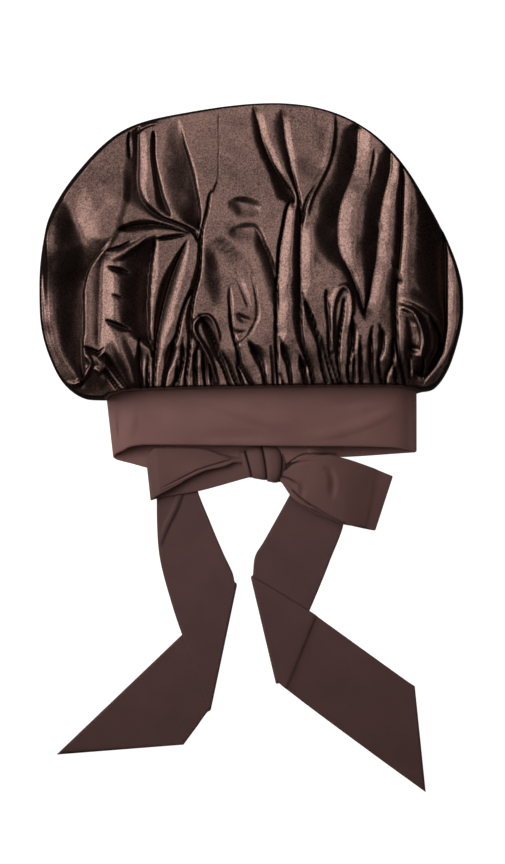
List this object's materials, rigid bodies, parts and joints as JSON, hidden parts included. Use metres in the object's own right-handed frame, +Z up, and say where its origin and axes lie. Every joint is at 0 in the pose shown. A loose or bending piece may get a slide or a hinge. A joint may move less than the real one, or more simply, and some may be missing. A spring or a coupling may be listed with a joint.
{
  "type": "sleep bonnet",
  "caption": "Puffed satin sleep bonnet, gathered into a wide band whose ends are tied in a bow, lying flat.",
  "frame": {"origin": "on the table, under the middle of the whole outline of bonnet and ties", "axes": "+Z up from the table, +Y from the bow toward the top of the crown, +X across, to the right when seen from above with the crown up"},
  "size_m": [0.3806, 0.6209, 0.0747],
  "materials": {
    "satin": "dark brown satin, glossy side out, soft sheen",
    "band_cloth": "the same brown cloth, matt side out, folded",
    "tie_cloth": "the same brown cloth, matt side out, folded strip"
  },
  "bodies": {
    "root": {"crown": "satin", "band": "band_cloth", "knot": "tie_cloth", "left_loop": "tie_cloth", "right_loop": "tie_cloth", "left_tail": "tie_cloth", "right_tail": "tie_cloth"}
  },
  "joints": []
}
